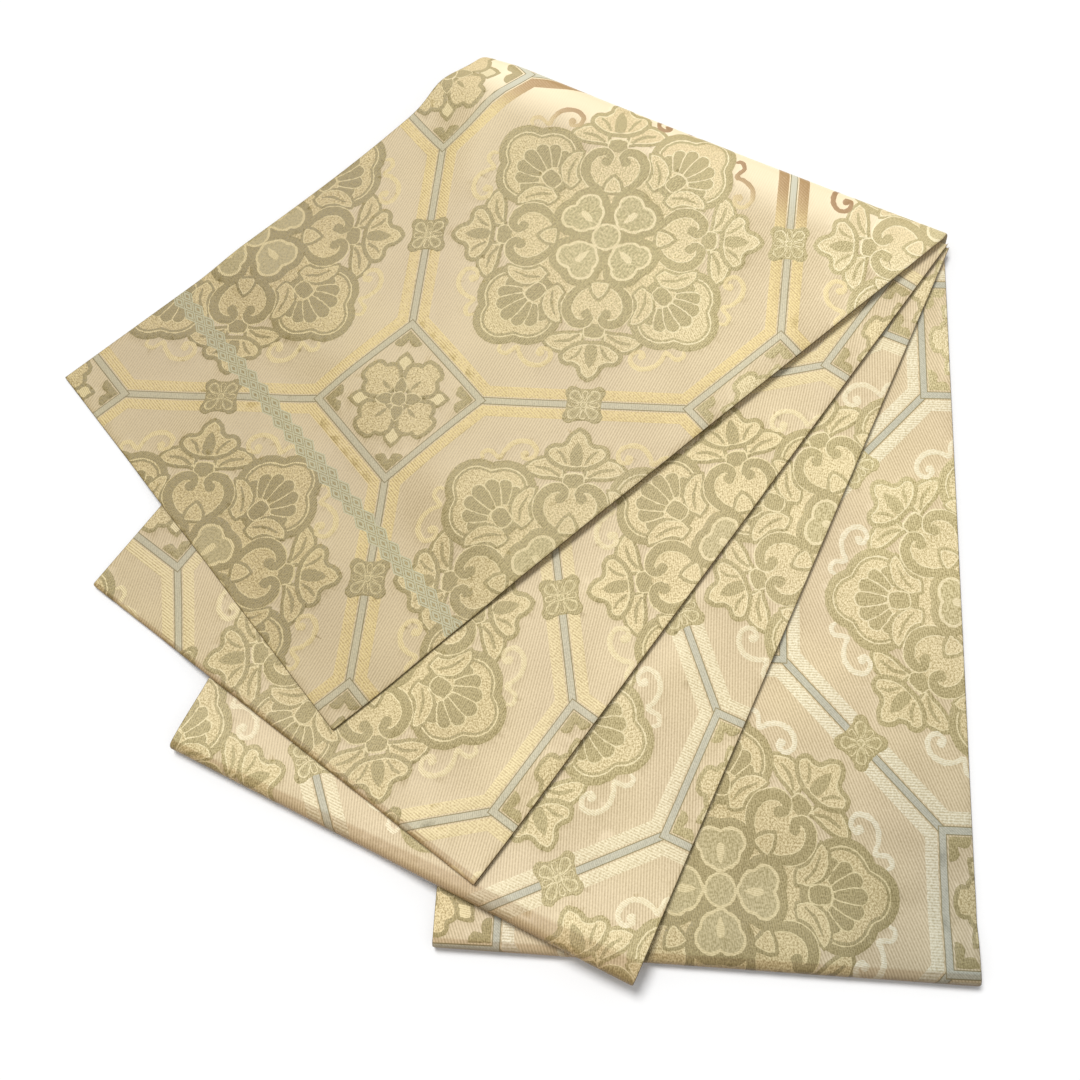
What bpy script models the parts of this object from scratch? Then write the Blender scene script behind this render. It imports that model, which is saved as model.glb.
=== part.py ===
# An obi sash, folded into a fan of four stretches that turn about one corner.
# The sash is a double cloth, brocade in front and plain behind, built here as one wall.
# Every stretch is cut from one shared plan of triangles, so layers that lie on each other never cross.

import math
from collections import namedtuple

import bmesh
import bpy
import numpy as np
from mathutils import Vector
from mathutils.geometry import delaunay_2d_cdt

for old_object in list(bpy.data.objects):
    bpy.data.objects.remove(old_object, do_unlink=True)

# Driving dimensions, in metres and degrees. Headings turn from +X towards +Y.
WIDTH = 0.310  # finished width of the sash
WALL = 0.0015  # thickness of the double cloth
GAP = 0.0003  # air between two layers, and at the seams between pieces
STEP = WALL + GAP  # height that one laid layer adds
PIVOT = np.array((0.28728, 0.17693))  # corner that the fan opens from, on the top fold's outer line
DROP = 0.045  # how far a layer takes to come down past the edge of what it lies on
TILE = 0.018  # spacing of the points inside the plan
CLEAR = 0.35 * TILE  # no inner point lies nearer than this to an outline

# One row for each turn of the cloth, lowest first. Every turn is a stretch whose front shows and,
# folded under it at the foot, a stretch that lies face down. heading runs from the foot up to the
# pivot. edge is how far the right selvedge passes to the right of the pivot, foot how far the foot
# lies from the pivot, skew how far the foot's right end hangs lower than square. bend is the radius
# of the foot fold at the middle of the wall, and puff how far back from it the layers stand apart.
Turn = namedtuple("Turn", "name heading edge foot skew bend puff")
TURNS = (
    Turn("lowest_stretch", 90.0, 0.0032, 0.4716, 1.0, 0.0032, 0.030),
    Turn("third_stretch", 67.4, 0.0090, 0.5185, 0.6, 0.0040, 0.034),
    Turn("second_stretch", 55.8, 0.0084, 0.5190, -0.3, 0.0011, 0.025),
)

# The end of the sash lies on top of them, and wraps round them all at the top fold.
END_HEADING = 42.0
END_EDGE = 0.0059
END_LENGTH = 0.5117  # from the pivot to the closed end
TOP_HEADING = 157.2  # top fold, from the pivot to its far end
TOP_REACH = 0.0070  # how far the fold stands out, at the middle of the wall
TOP_LENGTH = 0.336
TOP_SPRING = 0.0105  # the fold's far end isn't pressed flat, and stands this much higher
SPRING_BACK = 0.080  # how far back from the fold that height dies out

# The other end of the sash, turned twice more, is hidden under the end stretch.
HIDDEN_LEFT, HIDDEN_RIGHT = -0.298, 0.000  # its sides, to the right of the pivot
HIDDEN_FOOT = 0.360
HIDDEN_HEIGHT = 2 * WALL + GAP
# The rim of those two layers: share of the height from the bottom, and how far it stands out.
HIDDEN_RIM = ((0.12, 0.0006), (0.38, 0.0006), (0.50, -0.0004), (0.62, 0.0006), (0.88, 0.0006))

FOOT_RINGS = 6
TOP_RINGS = 9

BROCADE = (0.60, 0.51, 0.33)
LINING = (0.50, 0.43, 0.28)


def directions(heading):
    """Unit vectors along a heading, and to the right of it."""
    angle = math.radians(heading)
    return np.array((math.cos(angle), math.sin(angle))), np.array((math.sin(angle), -math.cos(angle)))


TOP_ALONG, TOP_OUT = directions(TOP_HEADING)
TOP_AXIS = PIVOT - (TOP_REACH + WALL / 2) * TOP_OUT  # a point on the line where the top fold starts


def on_line(across, side, along, point, normal):
    """The point where the lengthwise line at this distance to the right of the pivot meets a line."""
    start = PIVOT + across * side
    return start + along * ((point - start) @ normal) / (along @ normal)


def strip_outline(heading, left, right, foot_point, foot_normal):
    along, side = directions(heading)
    feet = [on_line(across, side, along, foot_point, foot_normal) for across in (left, right)]
    tops = [on_line(across, side, along, TOP_AXIS, TOP_OUT) for across in (right, left)]
    return np.array(feet + tops)


def foot_line(turn):
    """A point on the line where a turn's foot fold starts, and the direction in which it stands out."""
    along, side = directions(turn.heading)
    skew = math.radians(turn.skew)
    out = -(along * math.cos(skew) + side * math.sin(skew))
    outermost = PIVOT - turn.foot * along + (turn.edge - WIDTH / 2) * side
    return outermost - (turn.bend + WALL / 2) * out, out


def ramp(distance, length):
    """1 at no distance, easing down to 0 at this length."""
    share = np.clip(distance / length, 0.0, 1.0)
    return 1 - share**2 * (3 - 2 * share)


def distance_outside(points, outline):
    """How far points lie outside an outline that runs anticlockwise."""
    total = 0
    for start, end in zip(outline, np.roll(outline, -1, axis=0)):
        run = (end - start) / np.linalg.norm(end - start)
        out = np.array((run[1], -run[0]))
        total = total + np.maximum(0, (points - start) @ out) ** 2
    return np.sqrt(total)


def foot_opening(points, turn):
    """How much further apart than usual a turn's two layers lie, near the foot fold."""
    point, out = foot_line(turn)
    back = np.maximum(0, (point - points) @ out)
    return (2 * turn.bend - STEP) * np.exp(-((back / turn.puff) ** 2))


OUTLINES = {
    turn.name: strip_outline(turn.heading, turn.edge - WIDTH, turn.edge, *foot_line(turn)) for turn in TURNS
}
END_ALONG, END_SIDE = directions(END_HEADING)
OUTLINES["hidden_turns"] = strip_outline(
    END_HEADING, HIDDEN_LEFT, HIDDEN_RIGHT, PIVOT - HIDDEN_FOOT * END_ALONG, -END_ALONG
)
OUTLINES["end_stretch"] = strip_outline(
    END_HEADING, END_EDGE - WIDTH, END_EDGE, PIVOT - END_LENGTH * END_ALONG, -END_ALONG
)


def bottom_height(points, name):
    """The height of the underside of what lies at this place in the heap."""
    total = np.zeros(len(points))
    for turn in TURNS:
        if turn.name == name:
            return total
        full = 2 * STEP + foot_opening(points, turn)
        total += full * ramp(distance_outside(points, OUTLINES[turn.name]), DROP)
    if name == "end_stretch":
        full = HIDDEN_HEIGHT + GAP
        total += full * ramp(distance_outside(points, OUTLINES["hidden_turns"]), DROP)
        back = np.maximum(0, (TOP_AXIS - points) @ TOP_OUT)
        far = np.clip((points - PIVOT) @ TOP_ALONG / TOP_LENGTH, 0.0, 1.1)
        total += TOP_SPRING * far**2 * np.exp(-((back / SPRING_BACK) ** 2))
    return total


def plan_of_triangles():
    """All outlines cut into one plan of triangles: its points, and the triangles of each outline."""
    corners = np.concatenate(list(OUTLINES.values()))
    low, high = corners.min(axis=0), corners.max(axis=0)
    rows = np.arange(low[1], high[1], TILE * math.sqrt(3) / 2)
    inner = [
        (x, y)
        for number, y in enumerate(rows)
        for x in np.arange(low[0] + (number % 2) * TILE / 2, high[0], TILE)
    ]
    inner = np.array([spot for spot in inner if stands_clear(np.array(spot))])
    points = [Vector(spot) for spot in np.concatenate((corners, inner))]
    faces = [list(range(first, first + 4)) for first in range(0, len(corners), 4)]
    made = delaunay_2d_cdt(points, [], faces, 1, 1e-6, True)
    spots = np.array([tuple(spot) for spot in made[0]])
    owned = {
        name: [face for face, owners in zip(made[2], made[5]) if number in owners]
        for number, name in enumerate(OUTLINES)
    }
    return spots, owned


def stands_clear(spot):
    """Whether a spot lies inside some outline, and not near the edge of any."""
    inside = False
    for outline in OUTLINES.values():
        ends = np.roll(outline, -1, axis=0) - outline
        share = np.clip(np.sum((spot - outline) * ends, axis=1) / np.sum(ends**2, axis=1), 0, 1)
        nearest = np.linalg.norm(outline + share[:, None] * ends - spot, axis=1).min()
        if nearest < CLEAR:
            return False
        inside = inside or distance_outside(spot[None], outline)[0] == 0
    return inside


SPOTS, TRIANGLES = plan_of_triangles()


def boundary(triangles):
    """The directed edges round a patch of triangles."""
    edges = {(face[n], face[n - 2]) for face in triangles for n in range(3)}
    return [edge for edge in edges if edge[::-1] not in edges]


def lies_on(spot_number, point, normal):
    return abs((SPOTS[spot_number] - point) @ normal) < 1e-6


class Piece:
    """A closed body, built up from layers of cloth, the folds that join them and their rims."""

    def __init__(self, name, color):
        self.name = name
        self.mesh = bmesh.new()
        self.color = color

    def face(self, *corners):
        self.mesh.faces.new(corners)

    def layer(self, triangles, bottom, top):
        """Both faces of a layer. It returns their points by spot: (bottom, top)."""
        used = sorted({number for face in triangles for number in face})
        made = {}
        for number in used:
            x, y = SPOTS[number]
            made[number] = tuple(self.mesh.verts.new((x, y, height[number])) for height in (bottom, top))
        for face in triangles:
            self.face(*(made[number][0] for number in face))
            self.face(*(made[number][1] for number in face))
        return made

    def rims(self, triangles, made, hinges=()):
        """Upright rims round a layer, but not along its hinge lines."""
        for one, two in boundary(triangles):
            if not any(lies_on(one, *hinge) and lies_on(two, *hinge) for hinge in hinges):
                self.face(made[one][0], made[two][0], made[two][1], made[one][1])

    def fold(self, edges, upper, lower, axis, reach, drift, rings, stop=math.pi):
        """The bend from an upper layer round to the lower one, or to an open end at the angle stop."""
        point, out = axis
        sideways = np.array((-out[1], out[0]))
        numbers = sorted({number for edge in edges for number in edge})
        bend = {number: [upper[number]] for number in numbers}
        for number in numbers:
            high = (upper[number][0].co.z + upper[number][1].co.z) / 2
            low = (lower[number][0].co.z + lower[number][1].co.z) / 2 if lower else WALL / 2
            middle, rise = (high + low) / 2, (high - low) / 2
            for ring in range(1, rings if lower else rings + 1):
                angle = stop * ring / rings
                pair = []
                for offset in (-WALL / 2, WALL / 2):
                    flat = SPOTS[number] + (reach + offset) * math.sin(angle) * out
                    flat = flat + drift * angle * reach * sideways
                    height = middle + (rise + offset) * math.cos(angle)
                    pair.append(self.mesh.verts.new((*flat, height)))
                bend[number].append(tuple(pair))
            if lower:
                bend[number].append(lower[number][::-1])
        for one, two in edges:
            for ring in range(rings):
                for side in (0, 1):
                    corners = ((one, ring), (two, ring), (two, ring + 1), (one, ring + 1))
                    self.face(*(bend[n][r][side] for n, r in corners))
            if not lower:
                self.face(bend[one][-1][0], bend[two][-1][0], bend[two][-1][1], bend[one][-1][1])
        ends = [number for number in numbers if sum(number in edge for edge in edges) == 1]
        for number in ends:
            for ring in range(rings):
                here, there = bend[number][ring], bend[number][ring + 1]
                self.face(here[0], there[0], there[1], here[1])

    def finish(self):
        bmesh.ops.recalc_face_normals(self.mesh, faces=self.mesh.faces)
        data = bpy.data.meshes.new(self.name)
        self.mesh.to_mesh(data)
        self.mesh.free()
        material = bpy.data.materials.new(self.name + "_cloth")
        material.use_nodes = True
        shader = material.node_tree.nodes["Principled BSDF"]
        shader.inputs["Base Color"].default_value = (*self.color, 1.0)
        shader.inputs["Roughness"].default_value = 0.55
        shader.inputs["Metallic"].default_value = 0.0
        data.materials.append(material)
        piece = bpy.data.objects.new(self.name, data)
        bpy.context.scene.collection.objects.link(piece)


def build_turn(turn):
    """A stretch face up, its foot fold, and the stretch that lies face down under it."""
    triangles = TRIANGLES[turn.name]
    hinge = foot_line(turn)
    bottom = bottom_height(SPOTS, turn.name)
    lift = STEP + foot_opening(SPOTS, turn)
    piece = Piece(turn.name, BROCADE)
    lower = piece.layer(triangles, bottom, bottom + WALL)
    upper = piece.layer(triangles, bottom + lift, bottom + lift + WALL)
    piece.rims(triangles, lower, (hinge,))
    piece.rims(triangles, upper, (hinge,))
    edges = [edge for edge in boundary(triangles) if lies_on(edge[0], *hinge) and lies_on(edge[1], *hinge)]
    piece.fold(edges, upper, lower, hinge, turn.bend, 0.0, FOOT_RINGS)
    piece.finish()


def build_end():
    """The end stretch, with the top fold that carries it down round the whole heap."""
    triangles = TRIANGLES["end_stretch"]
    hinge = (TOP_AXIS, TOP_OUT)
    bottom = bottom_height(SPOTS, "end_stretch")
    piece = Piece("end_stretch", BROCADE)
    upper = piece.layer(triangles, bottom, bottom + WALL)
    piece.rims(triangles, upper, (hinge,))
    edges = [edge for edge in boundary(triangles) if lies_on(edge[0], *hinge) and lies_on(edge[1], *hinge)]
    slant = math.radians(END_HEADING - (TOP_HEADING - 90))
    stop = math.pi - math.asin(GAP / (TOP_REACH - WALL / 2))
    piece.fold(edges, upper, None, hinge, TOP_REACH, math.tan(slant), TOP_RINGS, stop)
    piece.finish()


def build_hidden():
    """The two hidden layers as one body, with a groove between them all round."""
    triangles = TRIANGLES["hidden_turns"]
    bottom = bottom_height(SPOTS, "hidden_turns")
    piece = Piece("hidden_turns", LINING)
    made = piece.layer(triangles, bottom, bottom + HIDDEN_HEIGHT)
    edges = boundary(triangles)
    outward = {number: np.zeros(2) for edge in edges for number in edge}
    for one, two in edges:
        run = SPOTS[two] - SPOTS[one]
        for number in (one, two):
            outward[number] += np.array((run[1], -run[0])) / np.linalg.norm(run)
    middle = SPOTS[list(outward)].mean(axis=0)
    rim = {}
    for number, out in outward.items():
        if out @ (SPOTS[number] - middle) < 0:
            out = -out
        out = out / max(np.linalg.norm(out), 1.0)
        low = bottom[number]
        rings = [
            piece.mesh.verts.new((*(SPOTS[number] + stand * out), low + share * HIDDEN_HEIGHT))
            for share, stand in HIDDEN_RIM
        ]
        rim[number] = [made[number][0], *rings, made[number][1]]
    for one, two in edges:
        for ring in range(len(HIDDEN_RIM) + 1):
            piece.face(rim[one][ring], rim[two][ring], rim[two][ring + 1], rim[one][ring + 1])
    piece.finish()


for each_turn in TURNS:
    build_turn(each_turn)
build_hidden()
build_end()
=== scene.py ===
import math

import bpy
import numpy as np
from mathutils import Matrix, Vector
from mathutils.geometry import delaunay_2d_cdt


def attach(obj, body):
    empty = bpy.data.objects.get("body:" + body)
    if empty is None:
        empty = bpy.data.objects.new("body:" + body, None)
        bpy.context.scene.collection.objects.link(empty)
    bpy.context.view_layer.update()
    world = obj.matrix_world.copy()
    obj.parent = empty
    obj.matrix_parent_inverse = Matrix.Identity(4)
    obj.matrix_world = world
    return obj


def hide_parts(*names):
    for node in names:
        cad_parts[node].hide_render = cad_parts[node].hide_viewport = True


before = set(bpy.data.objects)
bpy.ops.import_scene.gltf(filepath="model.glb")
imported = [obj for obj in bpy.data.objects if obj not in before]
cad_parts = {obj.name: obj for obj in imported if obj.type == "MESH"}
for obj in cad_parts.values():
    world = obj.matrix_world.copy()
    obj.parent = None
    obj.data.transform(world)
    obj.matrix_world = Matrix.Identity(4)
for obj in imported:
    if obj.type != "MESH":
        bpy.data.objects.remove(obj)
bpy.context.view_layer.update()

# An obi sash folded into a fan: four stretches of brocade turn about one corner, and the top fold
# wraps them all. Lengths are in metres, and the figure is drawn in millimetres.

# the folded sash
sash = {
    "width": 0.310,
    "wall": 0.0015,
    "gap": 0.0003,
    "pivot": (0.28728, 0.17693),
    "drop": 0.045,
}
pivot = np.array(sash["pivot"])
wall = sash["wall"]
step = wall + sash["gap"]

# lowest first; every turn is a stretch face up and, under its foot fold, one face down
# the roll pair gives how far before each foot fold its painted shade begins, at the left and at the right
# edge
turns = [
    {"name": "lowest", "heading": 90.0, "edge": 0.0032, "foot": 0.4716, "skew": 1.0, "bend": 0.0032,
     "puff": 0.030, "figureStart": -0.4289, "roll": (0.002, 0.003)},
    {"name": "third", "heading": 67.4, "edge": 0.0090, "foot": 0.5185, "skew": 0.6, "bend": 0.0040,
     "puff": 0.034, "figureStart": -0.3967, "roll": (0.001, 0.010)},
    {"name": "second", "heading": 55.8, "edge": 0.0084, "foot": 0.5190, "skew": -0.3, "bend": 0.0011,
     "puff": 0.025, "figureStart": -0.4389, "roll": (0.001, 0.003)},
]
endPart = {"name": "end", "heading": 42.0, "edge": 0.0059, "length": 0.5117, "figureStart": -0.3501}
topFold = {"heading": 157.2, "reach": 0.0070, "length": 0.336, "spring": 0.0105, "springBack": 0.080,
           "flare": 0.0065, "flareBack": 0.026, "flareWidth": 0.017, "trim": 0.007}
# each row round its side is a share of its height and how far it stands out
hiddenTail = {"left": -0.298, "right": 0.0, "foot": 0.360,
              "sideRows": ((0.08, 0.0003), (0.22, 0.0006), (0.38, 0.0005), (0.5, -0.0004), (0.62, 0.0005),
                           (0.78, 0.0006), (0.92, 0.0003))}

# soft creases: a line in plan, how much it swells the heap there, and how far it spreads
creases = [
    (-0.20, 0.02, 0.06, -0.03, 0.05, 0.030),
    (-0.17, 0.17, 0.02, 0.24, 0.06, 0.035),
    (0.02, 0.06, 0.24, 0.16, -0.05, 0.028),
    (-0.26, -0.02, -0.12, -0.16, 0.06, 0.022),
    (0.17, -0.19, 0.27, -0.22, 0.22, 0.007),
    (0.19, -0.20, 0.28, -0.235, -0.16, 0.006),
    (0.245, -0.255, 0.29, -0.262, -0.30, 0.007),
    (0.14, -0.08, 0.25, -0.17, 0.16, 0.009),
    (0.20, -0.03, 0.28, -0.09, 0.14, 0.010),
    (0.02, -0.20, 0.12, -0.12, 0.08, 0.010),
    (-0.13, -0.13, -0.02, -0.22, 0.07, 0.010),
    (-0.27, 0.03, -0.20, -0.04, 0.07, 0.012),
    (-0.02, 0.20, 0.07, 0.17, 0.05, 0.012),
    (0.12, 0.02, 0.19, 0.10, 0.05, 0.010),
]


def directions(heading):
    angle = math.radians(heading)
    return np.array((math.cos(angle), math.sin(angle))), np.array((math.sin(angle), -math.cos(angle)))


topAlong, topOut = directions(topFold["heading"])
topAxis = pivot - (topFold["reach"] + wall / 2) * topOut


def onLine(across, side, along, point, normal):
    start = pivot + across * side
    return start + along * ((point - start) @ normal) / (along @ normal)


def stripOutline(heading, left, right, footPoint, footNormal):
    along, side = directions(heading)
    feet = [onLine(across, side, along, footPoint, footNormal) for across in (left, right)]
    tops = [onLine(across, side, along, topAxis, topOut) for across in (right, left)]
    return np.array(feet + tops)


def footLine(turn):
    along, side = directions(turn["heading"])
    skew = math.radians(turn["skew"])
    out = -(along * math.cos(skew) + side * math.sin(skew))
    outermost = pivot - turn["foot"] * along + (turn["edge"] - sash["width"] / 2) * side
    return outermost - (turn["bend"] + wall / 2) * out, out


def ramp(distance, length):
    share = np.clip(distance / length, 0.0, 1.0)
    return 1 - share**2 * (3 - 2 * share)


def distanceOutside(points, outline):
    total = 0
    for start, end in zip(outline, np.roll(outline, -1, axis=0)):
        run = (end - start) / np.linalg.norm(end - start)
        out = np.array((run[1], -run[0]))
        total = total + np.maximum(0, (points - start) @ out) ** 2
    return np.sqrt(total)


def depthInside(points, outline):
    depth = np.full(len(points), 1e9)
    for start, end in zip(outline, np.roll(outline, -1, axis=0)):
        run = (end - start) / np.linalg.norm(end - start)
        depth = np.minimum(depth, (points - start) @ np.array((-run[1], run[0])))
    return depth


def footOpening(points, turn):
    point, out = footLine(turn)
    back = np.maximum(0, (point - points) @ out)
    return (2 * turn["bend"] - step) * np.exp(-((back / turn["puff"]) ** 2))


outlines = {}
for eachTurn in turns:
    outlines[eachTurn["name"]] = stripOutline(
        eachTurn["heading"], eachTurn["edge"] - sash["width"], eachTurn["edge"], *footLine(eachTurn)
    )
endAlong, endSide = directions(endPart["heading"])
hiddenFoot = pivot - hiddenTail["foot"] * endAlong
outlines["hidden"] = stripOutline(
    endPart["heading"], hiddenTail["left"], hiddenTail["right"], hiddenFoot, -endAlong
)
outlines["end"] = stripOutline(
    endPart["heading"],
    endPart["edge"] - sash["width"],
    endPart["edge"],
    pivot - endPart["length"] * endAlong,
    -endAlong,
)


def bottomHeight(points, name):
    total = np.zeros(len(points))
    for turn in turns:
        if turn["name"] == name:
            return total
        full = 2 * step + footOpening(points, turn)
        total += full * ramp(distanceOutside(points, outlines[turn["name"]]), sash["drop"])
    if name == "end":
        full = 2 * wall + 2 * sash["gap"]
        total += full * ramp(distanceOutside(points, outlines["hidden"]), sash["drop"])
        back = np.maximum(0, (topAxis - points) @ topOut)
        far = np.clip((points - pivot) @ topAlong / topFold["length"], 0.0, 1.1)
        total += topFold["spring"] * far**2 * np.exp(-((back / topFold["springBack"]) ** 2))
    return total


def softness(spots):
    total = np.zeros(len(spots))
    for x0, y0, x1, y1, swell, spread in creases:
        start, run = np.array((x0, y0)), np.array((x1 - x0, y1 - y0))
        share = np.clip((spots - start) @ run / (run @ run), 0, 1)
        away = np.linalg.norm(spots - start - share[:, None] * run, axis=1)
        total += swell * np.exp(-((away / spread) ** 2))
    return total


def planOf(strip, flat):
    along, side = directions(strip["heading"])
    return pivot + flat[:, :1] * along + flat[:, 1:] * side


def flatOf(strip, plan):
    along, side = directions(strip["heading"])
    return np.stack(((plan - pivot) @ along, (plan - pivot) @ side), axis=1)


def middles(strip, laid):
    bottom = bottomHeight(laid, strip["name"])
    if strip["name"] == "end":
        return bottom + wall / 2, np.full(len(laid), wall / 2)
    return bottom + step + footOpening(laid, strip) + wall / 2, bottom + wall / 2


# where a point of the flat cloth lies in the heap: face up, round the bend or face down
def place(strip, flat, offset):
    plan = planOf(strip, flat)
    along, side = directions(strip["heading"])
    point, out = strip["hinge"]
    length = strip["bendLength"]
    past = (plan - point) @ out
    angle = math.pi * np.clip(past / length, 0, 1)
    laid = plan - np.outer(np.maximum(past, 0) + np.maximum(past - length, 0), out)
    high, low = middles(strip, laid)
    spot = laid + np.outer(np.sin(angle) * (strip["reach"] + offset), out)
    height = (high + low) / 2 + ((high - low) / 2 + offset) * np.cos(angle)
    height = height * (1 + softness(spot))
    if "flare" in strip:
        spot = spot - np.outer(strip["flare"](flat, past), side)
    return np.column_stack((spot, np.maximum(height, 0)))


# the figure of the brocade, drawn in millimetres about the middle of each motif
figure = {
    "stepAlong": 0.1767,
    "stepAcross": 0.1652,
    "middleColumn": 0.1452,  # from the right selvedge
    "square": 38.3,
    "line": 3.9,
    "lineOutline": 0.6,
    "band": 7.2,
    "bandGap": 0.8,
    "drawStep": 1.6,
    "lift": 0.00013,
    "serration": 0.00016,
    "borderAt": -0.417,
    "borderDiamond": 6.6,
}
cell = 1000 * math.sqrt(figure["stepAlong"] * figure["stepAcross"])
(ground, goldBand, celadon, outlineOlive, olive, sage, stipple, pale, tendril, borderPale,
 seamEdgeShade, seamDitchShadow, backCloth) = range(13)
quarters = (0, 90, 180, 270)


def arcs(*knots):
    # a closed line of arcs through (x, y, bulge); a positive bulge swells outwards
    made = []
    for (x0, y0, bulge), (x1, y1, _) in zip(knots, knots[1:] + knots[:1]):
        p, q = np.array((x0, y0), float), np.array((x1, y1), float)
        half = np.linalg.norm(q - p) / 2
        turn = 4 * math.atan(bulge)
        length = 2 * half if abs(bulge) < 1e-3 else abs(half / math.sin(turn / 2) * turn)
        count = max(1, round(length / figure["drawStep"]))
        shares = np.arange(count) / count
        if abs(bulge) < 1e-3:
            made.append(p + np.outer(shares, q - p))
            continue
        left = np.array((p[1] - q[1], q[0] - p[0])) / (2 * half)
        centre = (p + q) / 2 + left * half / math.tan(turn / 2)
        x, y = p - centre
        cosine, sine = np.cos(turn * shares), np.sin(turn * shares)
        made.append(centre + np.column_stack((x * cosine - y * sine, x * sine + y * cosine)))
    return np.concatenate(made)


def disc(radius, x=0.0, y=0.0):
    return arcs((x - radius, y, 1.0), (x + radius, y, 1.0))


def smooth(points, spacing):
    points = np.array(points, float)
    ends = np.concatenate((2 * points[:1] - points[1:2], points, 2 * points[-1:] - points[-2:-1]))
    made = []
    for a, b, c, d in zip(ends, ends[1:], ends[2:], ends[3:]):
        count = max(2, round(np.linalg.norm(c[:2] - b[:2]) / spacing))
        t = (np.arange(count) / count)[:, None]
        made.append(
            0.5 * (2 * b + (c - a) * t + (2 * a - 5 * b + 4 * c - d) * t**2 + (3 * b - a - 3 * c + d) * t**3)
        )
    made.append(points[-1:])
    return np.concatenate(made)


def stroke(*points):
    # a drawn line through (x, y, width)
    path = smooth(points, figure["drawStep"])
    run = np.gradient(path[:, :2], axis=0)
    run /= np.linalg.norm(run, axis=1)[:, None]
    left = np.column_stack((-run[:, 1], run[:, 0])) * path[:, 2:] / 2
    return np.concatenate((path[:, :2] - left, (path[:, :2] + left)[::-1]))


def inset(loop, distance):
    ahead = np.roll(loop, -1, axis=0) - loop
    behind = loop - np.roll(loop, 1, axis=0)
    run = ahead / np.linalg.norm(ahead, axis=1)[:, None] + behind / np.linalg.norm(behind, axis=1)[:, None]
    run /= np.maximum(np.linalg.norm(run, axis=1), 1e-6)[:, None]
    moved = loop + distance * np.column_stack((-run[:, 1], run[:, 0]))
    nearest = np.linalg.norm(moved[:, None] - loop[None], axis=2).min(axis=1)
    return moved[nearest > 0.94 * abs(distance)]


def turned(loop, degrees):
    angle = math.radians(degrees)
    return loop @ np.array(((math.cos(angle), math.sin(angle)), (-math.sin(angle), math.cos(angle))))


def mirrored(loop):
    return (loop * (1, -1))[::-1]


def allRound(first, shapes):
    return [
        (area, turned(loop, first + quarter), lift) for area, loop, lift in shapes for quarter in quarters
    ]


def bothSides(shapes):
    return [
        (area, side, lift) for area, loop, lift in shapes for side in (loop, mirrored(loop))
    ]


def raised(area, loop, lift=1.0):
    return [(area, loop, None), (area, inset(loop, 0.55), lift)]


def outlined(loop, thick, lift=1.0):
    inside = [(pale, inset(loop, thick - 0.7), None), (stipple, inset(loop, thick), 0.45)]
    return raised(olive, loop, lift) + inside


def blossom():
    cloud = arcs(
        (47, -15, 0.1), (57, -25.5, 0.55), (92.5, -18.3, 0.74), (92.5, 18.3, 0.55), (57, 25.5, 0.1),
        (47, 15, 0.0),
    )
    shapes = raised(olive, cloud) + [
        (pale, inset(cloud, 4.9), None),
        (olive, inset(cloud, 5.8), None),
        (stipple, inset(cloud, 7.4), 0.45),
    ]
    for lean, length in ((57, 25), (-57, 25), (38, 30), (-38, 30), (19, 33), (-19, 33), (0, 34.5)):
        petal = arcs((11, -1.3, 0.08), (0.8 * length, -4.3, 0.8), (0.8 * length, 4.3, 0.08), (11, 1.3, 0.0))
        petal = turned(petal, lean) + (56, 0)
        shapes += [(pale, inset(petal, -0.75), None), (olive, petal, 0.9)]
    leaf = arcs(
        (44, 4, 0.0), (52, 2.5, 0.1), (62, 8, 0.2), (66, 20, 0.35), (60, 30, 0.1), (54, 21, -0.3),
        (45, 15, 0.2),
    )
    vein = stroke((50, 7, 1.2), (56, 13, 2.0), (60, 22, 1.0))
    shapes += bothSides(outlined(leaf, 2.5, 0.9) + [(olive, vein, 0.8)])
    rim = arcs((53, -4.6, 0.2), (65, -4.9, 0.3), (65, 4.9, 0.2), (53, 4.6, 0.2))
    heart = arcs((53.5, -3.9, 0.2), (64.5, -4.2, 0.3), (64.5, 4.2, 0.2), (53.5, 3.9, 0.2))
    shapes += [(pale, rim, None), (olive, heart, 0.9)]
    return shapes


def finial():
    leaf = arcs((66, 3, -0.1), (79, 5.5, 0.28), (85, 20, 0.3), (74, 35, 0.12), (68.5, 17, -0.12))
    trefoil = arcs(
        (75, -5, 0.2), (84, -20.5, 0.62), (93.5, -12.5, -0.25), (95.5, -8.5, 0.3), (105, 0, 0.3),
        (95.5, 8.5, -0.25), (93.5, 12.5, 0.62), (84, 20.5, 0.2), (75, 5, 0.0),
    )
    shapes = bothSides(outlined(leaf, 3.0))
    shapes += bothSides([(olive, stroke((71, 9, 1.6), (75.5, 16, 2.4), (77, 25, 1.4)), 0.8)])
    shapes += outlined(trefoil, 3.7)
    shapes.append((olive, arcs((79, -3.0, 0.3), (95, 0, 0.3), (79, 3.0, 0.2)), 0.9))
    shapes += bothSides([(olive, stroke((80, 6, 1.6), (86, 9.5, 2.2), (89, 13.5, 1.0)), 0.8)])
    shapes.append((pale, arcs((62, -5.6, 0.25), (73, -6.1, 0.2), (73, 6.1, 0.25), (62, 5.6, 0.1)), None))
    shapes.append((olive, arcs((63, -5, 0.25), (72, -5.5, 0.2), (72, 5.5, 0.25), (63, 5, 0.1)), 1.0))
    return shapes


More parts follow.
